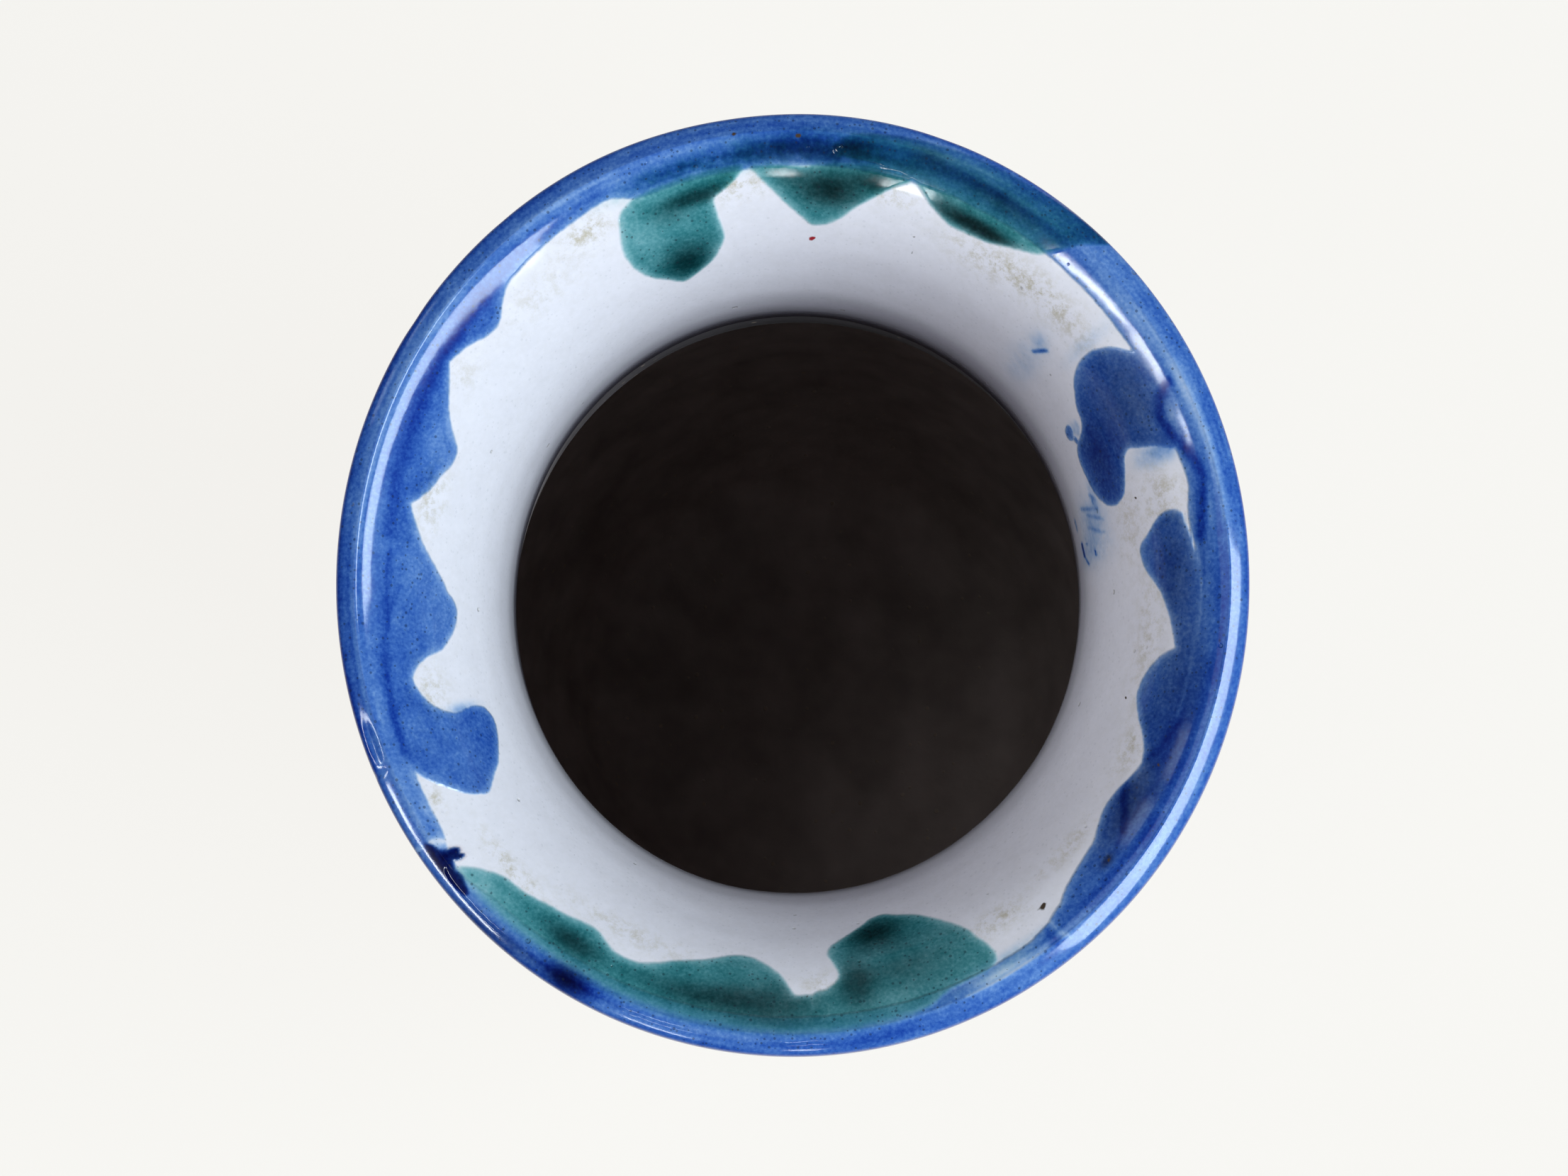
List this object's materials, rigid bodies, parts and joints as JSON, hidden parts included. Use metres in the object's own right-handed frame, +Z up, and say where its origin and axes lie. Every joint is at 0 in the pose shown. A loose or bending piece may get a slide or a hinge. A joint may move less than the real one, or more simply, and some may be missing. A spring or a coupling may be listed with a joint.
{
  "type": "ceramic vase",
  "caption": "Hand-thrown vase with a foot ring, a swelling body, a short neck and a wide flared mouth with a rolled lip, white glaze and blue and green brush marks.",
  "frame": {"origin": "centre of the circle that the foot ring stands on", "axes": "+Z up out of the mouth, +Y along the longer diameter of the slightly oval mouth, +X along its shorter one"},
  "size_m": [0.1128, 0.1152, 0.205],
  "materials": {
    "clay": "bare fired red-brown earthenware, dry and slightly gritty, with throwing rings",
    "white_glaze": "glossy opaque cool white glaze with pinholes, brown specks and brushed blue and green marks",
    "blue_glaze": "glossy deep cobalt blue, thinner and greyer on the crest of the lip"
  },
  "bodies": {
    "root": {"foot_ring": "clay", "body": "clay", "neck": "clay", "lip_glaze": "blue_glaze", "mouth_glaze": "white_glaze", "outer_glaze": "white_glaze"}
  },
  "joints": []
}
